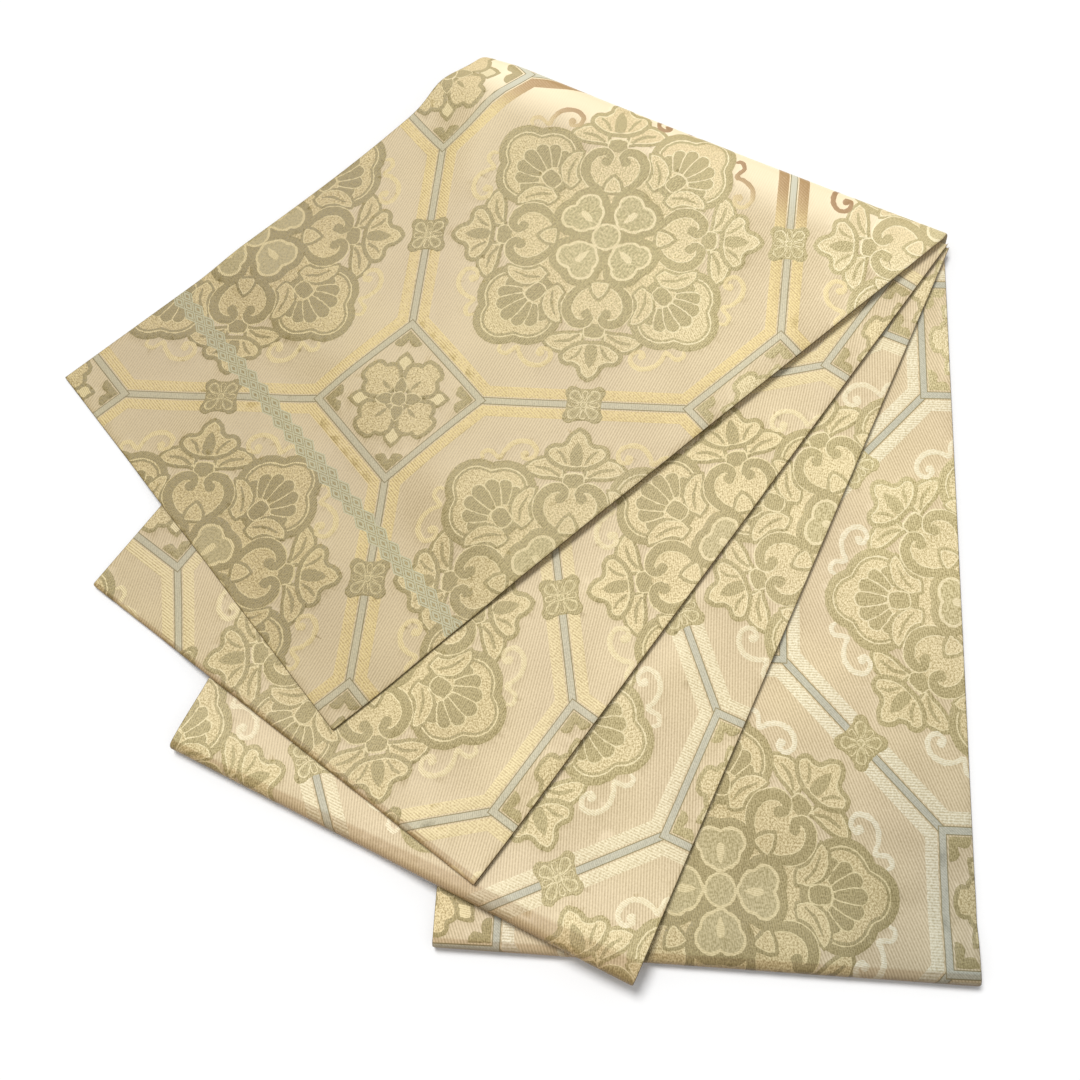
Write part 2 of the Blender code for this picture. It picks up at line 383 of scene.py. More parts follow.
def heart():
    scroll = stroke(
        (35, 7, 3.0), (39, 14, 5.2), (46.5, 19.2, 6.4), (55, 19.6, 6.6), (62, 14.6, 6.4), (63.6, 7.6, 5.8),
        (59.4, 4.0, 4.8), (55.8, 6.0, 3.4),
    )
    bud = arcs((32, -7.6, 0.3), (47.5, 0, 0.3), (32, 7.6, 0.1))
    shapes = [(stipple, arcs((38, -12, 0.6), (60, -12, 0.3), (60, 12, 0.6), (38, 12, 0.1)), 0.45)]
    eye = disc(3.5, 56.4, 6.6)
    shapes += bothSides([(pale, inset(scroll, -0.7), None), (olive, eye, 1.0), (olive, scroll, 1.0)])
    return shapes + outlined(bud, 2.8)


def rosette():
    petal = arcs(
        (9.5, -2.0, 0.0), (11.5, -5.0, 0.34), (20.5, -12.6, 0.3), (27.5, -15.4, 0.55), (33.0, 0, 0.55),
        (27.5, 15.4, 0.3), (20.5, 12.6, 0.34), (11.5, 5.0, 0.0), (9.5, 2.0, 0.0),
    )
    around = inset(petal, -5.0)
    shapes = allRound(0, [(olive, around, None)]) + [(olive, disc(24), 1.2)]
    shapes += allRound(0, [(olive, inset(around, 0.55), 1.2)])
    shapes += allRound(0, [(pale, petal, 1.2), (sage, inset(petal, 1.8), 0.9)])
    shapes += allRound(0, [(pale, arcs((14, 0, 0.18), (24, -2.2, 0.9), (24, 2.2, 0.18)), 1.2)])
    return shapes + [(pale, disc(9.8), 1.2), (sage, disc(8.2), 1.2)]


def curls():
    curl = stroke(
        (80.5, 59.5, 1.8), (84.6, 60.0, 2.8), (86.6, 55.0, 3.0), (81.5, 48.5, 2.6), (86.5, 46.5, 3.0),
        (92.6, 41.0, 3.4), (94.0, 32.5, 3.4), (89.4, 26.2, 3.2), (83.2, 27.4, 3.0), (82.2, 33.4, 2.6),
        (86.4, 34.8, 2.2),
    )
    return bothSides(raised(tendril, curl, 0.5) + raised(tendril, disc(2.6, 85.2, 33.0), 0.5))


def medallion():
    shapes = [(stipple, disc(62), 0.0), (stipple, disc(60), 0.3)]
    shapes += allRound(45, finial() + curls())
    shapes += allRound(0, blossom())
    shapes += allRound(45, heart())
    return shapes + rosette()


def squareFlower():
    lobe = arcs(
        (6, -6, 0.1), (13.0, -12.8, 0.6), (26.0, -9.2, 0.5), (33.0, -4.6, 0.14), (33.0, 4.6, 0.5),
        (26.0, 9.2, 0.6), (13.0, 12.8, 0.1), (6, 6, 0.0),
    )
    seed = arcs((9.2, 0, 0.3), (18.6, 0, 0.3))
    arrow = arcs(
        (49.4, 0, 0.0), (40.0, 9.6, 0.3), (37.6, 6.2, 0.25), (38.0, 2.6, 0.0), (42.0, 0, 0.0),
        (38.0, -2.6, 0.25), (37.6, -6.2, 0.3), (40.0, -9.6, 0.0),
    )
    bud = arcs((20, -2.4, 0.0), (26.4, -6.4, 0.12), (34.2, 0, 0.12), (26.4, 6.4, 0.0), (20, 2.4, 0.0))
    tip = arcs((20.6, -1.4, 0.0), (26.4, -4.1, 0.1), (30.8, 0, 0.1), (26.4, 4.1, 0.0), (20.6, 1.4, 0.0))
    petal = arcs((3, -1.6, 0.1), (7.5, -3.9, 0.25), (15.2, 0, 0.25), (7.5, 3.9, 0.1), (3, 1.6, 0.0))
    shapes = allRound(45, raised(olive, arrow, 0.9) + raised(olive, bud, 0.9) + [(pale, tip, 1.0)])
    shapes += allRound(0, raised(olive, lobe) + [(stipple, inset(lobe, 2.9), 0.45), (olive, seed, 0.9)])
    shapes += allRound(45, [(pale, inset(petal, -0.6), None), (olive, petal, 1.1)])
    return shapes + [(pale, disc(5.4), 1.1), (olive, disc(4.7), 1.1)]


def clasp():
    knots = []
    for quarter in quarters:
        for x, y, bulge in ((11.8, -5.4, -0.15), (11.8, 5.4, 0.95)):
            knots.append((*turned(np.array((x, y)), quarter), bulge))
    petal = arcs((2.6, -1.0, 0.1), (9.6, -3.6, 0.85), (9.6, 3.6, 0.1), (2.6, 1.0, 0.0))
    small = arcs((3.2, -0.5, 0.1), (8.4, -1.9, 0.9), (8.4, 1.9, 0.1), (3.2, 0.5, 0.0))
    shapes = raised(olive, arcs(*knots), 1.2)
    shapes += allRound(0, [(pale, small, 1.2), (olive, inset(small, 0.4), 1.2)])
    shapes += allRound(
        45, [(pale, petal, 1.2), (sage, inset(petal, 0.45), 1.2), (olive, inset(petal, 1.4), 1.2)]
    )
    return shapes + [(pale, disc(2.4), 1.2), (sage, disc(1.9), 1.2)]


def octagon(shrink):
    half, far = figure["square"], cell - figure["square"]
    cut = (far + half) / math.sqrt(2) - shrink
    far = far - shrink
    half = cut * math.sqrt(2) - far
    return turnedCorners(far, half)


def turnedCorners(far, half):
    side = np.array(((far, -half), (far, half)))
    return np.concatenate([turned(side, quarter) for quarter in (0, 90, 180, 270)])


def box(x, y):
    return np.array(((-x, -y), (x, -y), (x, y), (-x, y)), float)


def split(loop, spacing):
    made = []
    for p, q in zip(loop, np.roll(loop, -1, axis=0)):
        count = max(1, math.ceil(np.linalg.norm(q - p) / spacing))
        made.append(p + np.outer(np.arange(count) / count, q - p))
    return np.concatenate(made)


# every motif of a strip as (area, loop in flat metres, lift), in the order in which they cover each other
def figureOf(strip, keep):
    rows, columns = figure["stepAlong"], figure["stepAcross"]
    scale = np.array((rows, columns)) / cell
    middle = strip["edge"] - figure["middleColumn"]
    squareSide = strip["squareSide"]
    outlineHalf = figure["line"] / 2 + figure["lineOutline"]
    lineHalf = figure["line"] / 2
    near = outlineHalf + figure["bandGap"]
    half = figure["square"]
    run = (cell - 2 * half) / math.sqrt(2)
    layers = [[], [], [], []]
    chance = np.random.default_rng(11)
    for row in range(-7, 4):
        for column in range(-2, 4):
            centre = np.array((strip["figureStart"] + row * rows, middle + column * columns))

            def put(layer, shapes, about=(0.0, 0.0), turn=0.0, straight=False):
                for area, loop, lift in shapes:
                    flat = centre + (turned(loop, turn) + about) * scale
                    if keep(flat):
                        steps = 0.0 if straight else figure["serration"]
                        layers[layer].append((area, flat + chance.normal(0.0, 1.0, flat.shape) * steps, lift))

            if (row + column) % 2 == squareSide:
                for size, area, lift in (
                    (half + outlineHalf, outlineOlive, 0.0), (half + lineHalf, celadon, 0.5),
                    (half - lineHalf, outlineOlive, 0.0), (half - outlineHalf, ground, 0.0),
                ):
                    put(2, [(area, split(box(size, size), 12.0), lift)], straight=True)
                put(2, squareFlower())
            else:
                for inside, area, lift in (
                    (0, goldBand, 0.0), (0.5, goldBand, 0.35),
                    (figure["band"] - 0.5, goldBand, 0.0), (figure["band"], ground, 0.0),
                ):
                    put(0, [(area, split(octagon(near + inside), 12.0), lift)], straight=True)
                put(1, medallion())
                for turn in (45, 135, 225, 315):
                    about = turned(np.array((cell / math.sqrt(2), 0.0)), turn)
                    put(1, [(outlineOlive, split(box(outlineHalf, run), 12.0), 0.0)], about, turn, True)
                    put(1, [(celadon, split(box(lineHalf, run), 12.0), 0.5)], about, turn, True)
                    put(3, clasp(), about, turn)
    return sum(layers, [])


def border(strip):
    # long lozenges in crossing lines, each with a smaller one inside, near the closed end
    wide = figure["borderDiamond"] / 1000
    long = 2 * wide
    middle = figure["borderAt"]
    low = strip["edge"] - sash["width"] - 0.002
    shapes = []
    for number in range(int((sash["width"] + 0.004) / long) + 1):
        for row, step in ((0.0, 0.0), (-0.5, 0.5), (0.5, 0.5)):
            centre = np.array((middle + row * wide, low + (number + step) * long))
            for share, area in ((0.57, borderPale), (0.43, olive), (0.34, borderPale), (0.17, olive)):
                corners = share * np.array(((wide, 0), (0, long), (-wide, 0), (0, -long)))
                shapes.append((area, centre + corners, 0.0 if share > 0.5 else 0.3))
    return shapes


# which points a loop winds round
def wound(points, loop):
    x, y = points[:, 0, None], points[:, 1, None]
    x0, y0 = loop[:, 0], loop[:, 1]
    x1, y1 = np.roll(x0, -1), np.roll(y0, -1)
    side = (x1 - x0) * (y - y0) - (x - x0) * (y1 - y0)
    upward = ((y0 <= y) & (y1 > y) & (side > 0)).sum(axis=1)
    downward = ((y0 > y) & (y1 <= y) & (side < 0)).sum(axis=1)
    return upward != downward


def signedArea(loop):
    x, y = loop[:, 0], loop[:, 1]
    return 0.5 * np.sum(x * np.roll(y, -1) - y * np.roll(x, -1))


# cuts the flat cloth along the outline, the fold rows and every motif's edge
def cutCloth(outline, rows, shapes, grid):
    points, edges = [], []

    def loopIn(loop):
        start = len(points)
        points.extend(loop)
        return list(range(start, start + len(loop)))

    faces = [loopIn(split(outline, 0.005))]
    for area, loop, lift in shapes:
        numbers = loopIn(loop)
        edges += list(zip(numbers, numbers[1:] + numbers[:1]))
    for row in rows:
        numbers = loopIn(row)
        edges += list(zip(numbers, numbers[1:]))
    points.extend(grid)
    made = delaunay_2d_cdt([Vector(1000 * p) for p in points], edges, faces, 1, 1e-3, True)
    spots = np.array([tuple(spot) for spot in made[0]]) / 1000
    triangles = np.array([face[:3] for face, owners in zip(made[2], made[5]) if owners])
    centres = spots[triangles].mean(axis=1)
    kinds = np.full(len(triangles), ground)
    levels = np.zeros(len(triangles))
    a, b, c = (spots[triangles[:, n]] for n in range(3))
    whole = np.abs(np.cross(b - a, c - a)) > 4e-9
    for area, loop, lift in shapes:
        low, high = loop.min(axis=0), loop.max(axis=0)
        near = np.nonzero(((centres > low) & (centres < high)).all(axis=1))[0]
        inside = near[wound(centres[near], loop)]
        kinds[inside] = area
        if lift is not None:
            levels[inside] = lift
    used, inverse = np.unique(triangles, return_inverse=True)
    triangles = inverse.reshape(-1, 3)
    spots = spots[used]
    a, b, c = (spots[triangles[:, n]] for n in range(3))
    clockwise = np.cross(b - a, c - a) < 0
    triangles[clockwise] = triangles[clockwise][:, ::-1]
    height = np.zeros(len(spots))
    for n in range(3):
        np.maximum.at(height, triangles[whole, n], levels[whole])
    return spots, triangles, kinds, height


def edgeLoop(triangles):
    pairs = np.concatenate([triangles[:, (0, 1)], triangles[:, (1, 2)], triangles[:, (2, 0)]])
    there = set(map(tuple, pairs.tolist()))
    following = {a: b for a, b in there if (b, a) not in there}
    first = min(following)
    loop = [first]
    while following[loop[-1]] != first:
        loop.append(following[loop[-1]])
    if len(loop) != len(following):
        raise ValueError("the cut cloth has a hole")
    return loop


def hexGrid(low, high, spacing):
    made = []
    for number, y in enumerate(np.arange(low[1], high[1], spacing * 0.866)):
        xs = np.arange(low[0] + (number % 2) * spacing / 2, high[0], spacing)
        made.append(np.column_stack((xs, np.full(len(xs), y))))
    return np.concatenate(made)


def pointInLoop(points, loop):
    inside = np.zeros(len(points), bool)
    for (x0, y0), (x1, y1) in zip(loop, np.roll(loop, -1, axis=0)):
        crosses = (y0 > points[:, 1]) != (y1 > points[:, 1])
        with np.errstate(divide="ignore", invalid="ignore"):
            at = x0 + (points[:, 1] - y0) * (x1 - x0) / (y1 - y0)
        inside ^= crosses & (points[:, 0] < at)
    return inside


def nearLoop(points, loop):
    nearest = np.full(len(points), 1e9)
    for start, end in zip(loop, np.roll(loop, -1, axis=0)):
        run = end - start
        share = np.clip((points - start) @ run / (run @ run), 0, 1)
        nearest = np.minimum(nearest, np.linalg.norm(points - start - share[:, None] * run, axis=1))
    return nearest


# the selvedge: how far each row stands out, and its height as a share of half the wall
selvedge = ((0.00030, 0.45), (-0.00020, 0.0), (0.00030, -0.45))


def buildStrip(strip, outline, foldRows, shapes):
    low, high = outline.min(axis=0), outline.max(axis=0)
    inner = inset(split(outline, 0.005), 0.0009)
    rows = [np.concatenate((inner, inner[:1]))] + foldRows
    grid = hexGrid(low, high, 0.0072)
    grid = grid[pointInLoop(grid, outline)]
    grid = grid[nearLoop(grid, outline) > 0.002]
    spots, triangles, kinds, relief = cutCloth(outline, rows, shapes, grid)
    loop = edgeLoop(triangles)
    edge = spots[loop]
    # the back cloth keeps the same edge, with a coarser net inside
    coarse = hexGrid(low, high, 0.012)
    coarse = coarse[pointInLoop(coarse, outline)]
    coarse = coarse[nearLoop(coarse, outline) > 0.004]
    onRows = np.concatenate(foldRows)
    onRows = onRows[pointInLoop(onRows, outline)]
    onRows = onRows[nearLoop(onRows, outline) > 0.0008]
    past = (planOf(strip, coarse) - strip["hinge"][0]) @ strip["hinge"][1]
    coarse = coarse[(past < -0.002) | (past > strip["bendLength"] + 0.002)]
    inside = np.concatenate((coarse, onRows))
    points = np.concatenate((edge, inside))
    made = delaunay_2d_cdt([Vector(1000 * p) for p in points], [], [list(range(len(edge)))], 1, 1e-6, True)
    if len(made[0]) != len(points):
        raise ValueError(f"{strip['name']}: the back cloth's edge changed")
    origin = np.array([ids[0] for ids in made[3]])
    backTriangles = origin[np.array([face[:3] for face, owners in zip(made[2], made[5]) if owners])]
    a, b, c = (points[backTriangles[:, n]] for n in range(3))
    clockwise = np.cross(b - a, c - a) < 0
    backTriangles[clockwise] = backTriangles[clockwise][:, ::-1]

    offset = wall / 2 + figure["lift"] * relief * strip["reliefAt"](spots)
    offset[loop] = 0.72 * wall / 2
    frontAt = place(strip, spots, offset)
    run = np.roll(edge, -1, axis=0) - np.roll(edge, 1, axis=0)
    run /= np.linalg.norm(run, axis=1)[:, None]
    outward = np.column_stack((run[:, 1], -run[:, 0]))
    ringsAt = [
        place(strip, edge + stand * outward, np.full(len(edge), share * wall / 2))
        for stand, share in selvedge
    ]
    backOffset = np.full(len(points), -wall / 2)
    backOffset[: len(edge)] = -0.72 * wall / 2
    backAt = place(strip, points, backOffset)

    vertices = np.concatenate([frontAt, *ringsAt, backAt])
    flat = np.concatenate([spots, *([edge] * len(selvedge)), points])
    firstRing, firstBack = len(spots), len(spots) + len(selvedge) * len(edge)
    count = len(edge)
    here = np.arange(count)
    there = np.roll(here, -1)
    chains = [np.array(loop)]
    chains += [firstRing + number * count + here for number in range(len(selvedge))]
    chains.append(firstBack + here)
    # painted shade: the selvedge rows are coloured dark brown for the shade along the rolled edge, darkest in
    # the ditch between the lips
    quads, quadKinds = [], []
    for number, (upper, lower) in enumerate(zip(chains, chains[1:])):
        quads.append(np.column_stack((upper[here], lower[here], lower[there], upper[there])))
        quadKinds.append(np.full(count, (seamEdgeShade, seamDitchShadow, seamDitchShadow, seamEdgeShade)[number]))
    faces = [tuple(face[::-1]) for face in triangles.tolist()]
    faces += [tuple(face[::-1]) for face in np.concatenate(quads).tolist()]
    faces += [tuple(face) for face in (backTriangles + firstBack).tolist()]
    allKinds = np.concatenate((kinds, *quadKinds, np.full(len(backTriangles), backCloth)))
    piece = makeMesh(strip["name"] + "_brocade", vertices, faces, allKinds, flat, strip)
    return piece, edge, place(strip, edge, np.zeros(len(edge)))


# how the heap takes the light, all of it painted light: two masks of painted shade (one towards grey,
# one towards brown), one of painted sheen on the motifs, and one that paints each lower stretch's gold
# paler; each gives the value at the middle, and what a metre to the right and a metre up add to it
lightFall = {
    "shade": {"lowest": (-1.09, 2.85, -4.27), "third": (-0.1, 0.3, -0.8), "second": (0.0, 0.0, 0.0),
              "end": (0.0, 0.0, 0.0)},
    "warmShade": {"lowest": (0.0, 0.0, 0.0), "third": (-0.2, -3.5, 0.0), "second": (0.28, -2.4, 0.0),
             "end": (0.60, -2.6, -0.35)},
    "paintedSheen": {"lowest": (0.85, 0.0, 2.9), "third": (0.55, 0.0, 0.0), "second": (0.35, 0.0, 0.0),
              "end": (0.36, 2.4, 0.0)},
    "paintedStretchLight": {"lowest": (0.9, 0.0, 0.0), "third": (0.7, 0.0, 0.0), "second": (0.3, 0.0, 0.0),
              "end": (0.0, 0.0, 0.0)},
}


def makeMesh(name, vertices, faces, kinds, flat, strip):
    mesh = bpy.data.meshes.new(name)
    mesh.from_pydata(vertices.tolist(), [], faces)
    mesh.update()
    used = sorted(set(kinds.tolist()))
    for number in used:
        mesh.materials.append(materials[number])
    slots = np.zeros(max(used) + 1, int)
    slots[used] = np.arange(len(used))
    mesh.polygons.foreach_set("material_index", slots[kinds])
    corner = np.empty(len(mesh.loops), int)
    mesh.loops.foreach_get("vertex_index", corner)
    weave = mesh.uv_layers.new(name="weave")
    weave.data.foreach_set("uv", flat[corner].astype(np.float32).ravel())
    mesh.shade_smooth()
    if strip is not None:
        # masks of painted light: sheen and shade at the top fold, shade at the foot folds
        for kind, value in (("fold", strip["foldShine"](flat)), ("foot", strip["footShade"](flat))):
            mesh.attributes.new(kind, "FLOAT", "POINT").data.foreach_set("value", value.astype(np.float32))
        for kind, stretches in lightFall.items():
            middle, right, up = stretches[strip["name"]]
            value = np.clip(middle + right * vertices[:, 0] + up * vertices[:, 1], 0, 1)
            mesh.attributes.new(kind, "FLOAT", "POINT").data.foreach_set("value", value.astype(np.float32))
    piece = bpy.data.objects.new(name, mesh)
    bpy.context.scene.collection.objects.link(piece)
    return piece


def linear(color):
    share = np.array(color) / 255
    return (*np.where(share <= 0.04045, share / 12.92, ((share + 0.055) / 1.055) ** 2.4), 1.0)


# the look of every area of the weave: sRGB of its darker and lighter threads, then of the painted sheen
# and shade where it turns at the top fold
weaves = {
    "ground": {"dark": (188, 167, 125), "light": (239, 219, 177), "foldSheenAndShade": (248, 230, 192),
               "pitch": 0.0017, "lean": 68, "rib": 0.8, "metal": 0.03, "rough": 0.48, "grain": 0.34,
               "grainSize": 800, "relief": 0.3},
    "goldBand": {"dark": (200, 174, 118), "light": (245, 223, 158), "foldSheenAndShade": (182, 148, 100),
                 "pitch": 0.0016, "paintedStretchLight": ((208, 193, 152), (250, 241, 210)),
                 "footShadeTint": (0.42, 0.29, 0.17), "lean": 0, "rib": 0.7, "metal": 0.05, "rough": 0.46,
                 "grain": 0.8, "grainSize": 780, "relief": 0.5},
    "celadon": {"dark": (184, 175, 144), "light": (228, 218, 184), "foldSheenAndShade": (212, 208, 184),
                "pitch": 0.0012, "paintedStretchLight": ((170, 167, 145), (208, 204, 180)), "lean": 45, "rib": 0.6,
                "metal": 0.0, "rough": 0.55, "grain": 0.6, "grainSize": 800, "relief": 0.3},
    "outlineOlive": {"dark": (132, 119, 78), "light": (168, 153, 108), "foldSheenAndShade": (150, 136, 94),
                     "pitch": 0.0009, "lean": 0, "rib": 0.4, "metal": 0.0, "rough": 0.55, "grain": 0.4,
                     "grainSize": 900, "relief": 0.3},
    "olive": {"dark": (144, 127, 76), "light": (192, 174, 120), "foldSheenAndShade": (196, 178, 128),
              "foldSheenShare": 0.5, "pitch": 0.0013, "paintedSheen": ((158, 142, 88), (228, 213, 160)), "lean": 78,
              "rib": 0.4, "metal": 0.03, "rough": 0.5, "grain": 0.9, "grainSize": 900, "relief": 0.4},
    "sage": {"dark": (172, 156, 103), "light": (214, 197, 146), "foldSheenAndShade": (214, 198, 152),
             "foldSheenShare": 0.5, "pitch": 0.0013, "paintedSheen": ((170, 155, 101), (236, 223, 172)), "lean": 78,
             "rib": 0.4, "metal": 0.03, "rough": 0.5, "grain": 1.1, "grainSize": 700, "relief": 0.35},
    "stipple": {"dark": (184, 161, 106), "light": (243, 223, 168), "foldSheenAndShade": (236, 212, 162),
                "foldSheenShare": 0.4, "pitch": 0.0011, "paintedSheen": ((196, 178, 124), (252, 236, 190)),
                "lean": 60, "rib": 0.25, "metal": 0.05, "rough": 0.44, "grain": 1.2, "grainSize": 880,
                "relief": 0.5},
    "pale": {"dark": (206, 186, 130), "light": (243, 225, 170), "foldSheenAndShade": (246, 232, 188),
             "foldSheenShare": 0.5, "pitch": 0.0012, "paintedSheen": ((224, 208, 158), (255, 244, 206)), "lean": 10,
             "rib": 0.4, "metal": 0.05, "rough": 0.44, "grain": 0.6, "grainSize": 800, "relief": 0.5},
    "tendril": {"dark": (212, 188, 130), "light": (244, 226, 172), "foldSheenAndShade": (172, 136, 92),
                "pitch": 0.0012, "paintedStretchLight": ((222, 208, 166), (252, 243, 214)), "lean": 10, "rib": 0.5,
                "metal": 0.05, "rough": 0.44, "grain": 0.6, "grainSize": 800, "relief": 0.5},
    "borderPale": {"dark": (190, 187, 150), "light": (226, 222, 186), "foldSheenAndShade": (206, 206, 180),
                   "pitch": 0.0009, "lean": 0, "rib": 0.4, "metal": 0.0, "rough": 0.55, "grain": 0.4,
                   "grainSize": 900, "relief": 0.3},
    # painted shade at the selvedge: darker brown rims and a near-black ditch
    "seamEdgeShade": {"dark": (116, 96, 58), "light": (160, 136, 90), "foldSheenAndShade": (150, 120, 76),
                 "pitch": 0.0010, "lean": 90, "rib": 0.4, "metal": 0.0, "rough": 0.6, "grain": 0.4,
                 "grainSize": 900, "relief": 0.4},
    "seamDitchShadow": {"dark": (70, 56, 32), "light": (104, 84, 50), "foldSheenAndShade": (100, 80, 48),
                  "pitch": 0.0010, "lean": 90, "rib": 0.4, "metal": 0.0, "rough": 0.7, "grain": 0.4,
                  "grainSize": 900, "relief": 0.4},
    "backCloth": {"dark": (186, 168, 130), "light": (212, 195, 157), "foldSheenAndShade": (212, 195, 157),
                  "pitch": 0.0010, "lean": 45, "rib": 0.4, "metal": 0.05, "rough": 0.48, "grain": 0.2,
                  "grainSize": 900, "relief": 0.25},
}


def weaveMaterial(name, look):
    material = bpy.data.materials.new(name)
    material.use_nodes = True
    nodes, links = material.node_tree.nodes, material.node_tree.links
    shader = nodes["Principled BSDF"]

    def node(kind, **settings):
        made = nodes.new(kind)
        for key, value in settings.items():
            setattr(made, key, value)
        return made

    def maths(operation, first, second):
        made = node("ShaderNodeMath", operation=operation)
        for socket, value in zip(made.inputs, (first, second)):
            if isinstance(value, (int, float)):
                socket.default_value = value
            else:
                links.new(value, socket)
        return made.outputs[0]

    def held(value):
        return maths("MINIMUM", maths("MAXIMUM", value, 0.0), 1.0)

    def noise(scale, detail, vector):
        made = node("ShaderNodeTexNoise")
        made.inputs["Scale"].default_value = scale
        made.inputs["Detail"].default_value = detail
        links.new(vector, made.inputs["Vector"])
        return made.outputs["Fac"]

    def blend(share, first, second, kind="MIX"):
        made = node("ShaderNodeMix", data_type="RGBA", blend_type=kind)
        links.new(share, made.inputs[0])
        for socket, value in zip(made.inputs[6:8], (first, second)):
            if isinstance(value, tuple):
                socket.default_value = value
            else:
                links.new(value, socket)
        return made.outputs[2]

    weave = node("ShaderNodeUVMap", uv_map="weave").outputs[0]
    along = node("ShaderNodeSeparateXYZ")
    links.new(weave, along.inputs[0])
    lean = math.radians(look["lean"])
    across = maths("ADD", maths("MULTIPLY", along.outputs[0], math.cos(lean) / look["pitch"]),
                   maths("MULTIPLY", along.outputs[1], math.sin(lean) / look["pitch"]))
    rib = maths("PINGPONG", across, 0.5)
    rib = maths("MULTIPLY", rib, 2.0)
    grain = noise(look["grainSize"], 1.0, weave)
    grain = maths("MULTIPLY", maths("SUBTRACT", grain, 0.5), 2.6 * look["grain"])
    mottle = maths("MULTIPLY", maths("SUBTRACT", noise(26, 3.0, weave), 0.5), 0.5)
    share = maths("ADD", maths("MULTIPLY", maths("SUBTRACT", rib, 0.5), look["rib"]), 0.5)
    share = maths("ADD", share, maths("ADD", grain, mottle))
    share = held(share)
    color = blend(share, linear(look["dark"]), linear(look["light"]))
    # painted sheen: the motifs are painted paler where the light catches them, and on each lower stretch the
    # gold, tendrils and lines take the tones of how that stretch takes the light
    for kind in ("paintedStretchLight", "paintedSheen"):
        if kind in look:
            strength = node("ShaderNodeAttribute", attribute_name=kind).outputs["Fac"]
            color = blend(strength, color, blend(share, *(linear(tone) for tone in look[kind])))
    # the satin drifts between a yellower and a greyer cast
    cast = held(maths("MULTIPLY", maths("SUBTRACT", noise(9, 2.0, weave), 0.36), 3.4))
    color = blend(cast, color, (0.95, 0.94, 0.98, 1.0), "MULTIPLY")
    # painted shade: two masks darken the colour where less light falls on the heap, one towards grey and one
    # towards brown
    for kind, tint in (("shade", (0.58, 0.62, 0.68, 1.0)), ("warmShade", (0.69, 0.67, 0.60, 1.0))):
        strength = node("ShaderNodeAttribute", attribute_name=kind).outputs["Fac"]
        color = blend(strength, color, tint, "MULTIPLY")
    # painted sheen and shade at the top fold: the ground and motifs are painted paler, the gold bands and
    # tendrils brown, where the cloth turns over
    fold = node("ShaderNodeAttribute", attribute_name="fold").outputs["Fac"]
    color = blend(maths("MULTIPLY", fold, look.get("foldSheenShare", 1.0)), color, linear(look["foldSheenAndShade"]))
    # painted shade: the satin is painted brown where it rolls over a foot fold, a band from the ridge and
    # darker towards the edge
    foot = node("ShaderNodeAttribute", attribute_name="foot").outputs["Fac"]
    ridge = held(maths("MULTIPLY", foot, 6.0))
    edge = held(maths("MULTIPLY", maths("SUBTRACT", foot, 0.55), 2.5))
    foot = maths("ADD", maths("MULTIPLY", ridge, 0.5), maths("MULTIPLY", edge, 0.5))
    color = blend(foot, color, (*look.get("footShadeTint", (0.58, 0.45, 0.31)), 1.0), "MULTIPLY")
    links.new(color, shader.inputs["Base Color"])
    links.new(maths("ADD", look["rough"] - 0.06, maths("MULTIPLY", share, 0.14)), shader.inputs["Roughness"])
    shader.inputs["Metallic"].default_value = look["metal"]
    bump = node("ShaderNodeBump")
    bump.inputs["Strength"].default_value = look["relief"]
    bump.inputs["Distance"].default_value = 0.0002
    links.new(maths("ADD", rib, grain), bump.inputs["Height"])
    links.new(bump.outputs[0], shader.inputs["Normal"])
    return material


materials = [weaveMaterial(name, look) for name, look in weaves.items()]
print("weaves ready")


# rows of points across a fold, parallel to it
def rowsAcross(strip, count, far):
    point, out = strip["hinge"]
    sideways = np.array((-out[1], out[0]))
    made = []
    for number in range(count + 1):
        past = far * number / count
        along = np.arange(-0.36, 0.361, 0.006)
        plan = point + past * out + along[:, None] * sideways
        made.append(flatOf(strip, plan))
    return made


def keepVisible(strip, covers, farPast):
    outline = strip["flatOutline"]
    low, high = outline.min(axis=0), outline.max(axis=0)

    def keep(flat):
        if (flat.max(axis=0) < low).any() or (flat.min(axis=0) > high).any():
            return False
        plan = planOf(strip, flat)
        past = (plan - strip["hinge"][0]) @ strip["hinge"][1]
        if past.min() > farPast:
            return False
        if not pointInLoop(flat, outline).any():
            return False
        if past.max() < 0 and covers:
            hidden = np.zeros(len(plan), bool)
            for cover in covers:
                hidden |= depthInside(plan, outlines[cover]) > 0.012
            if hidden.all():
                return False
        return True

    return keep


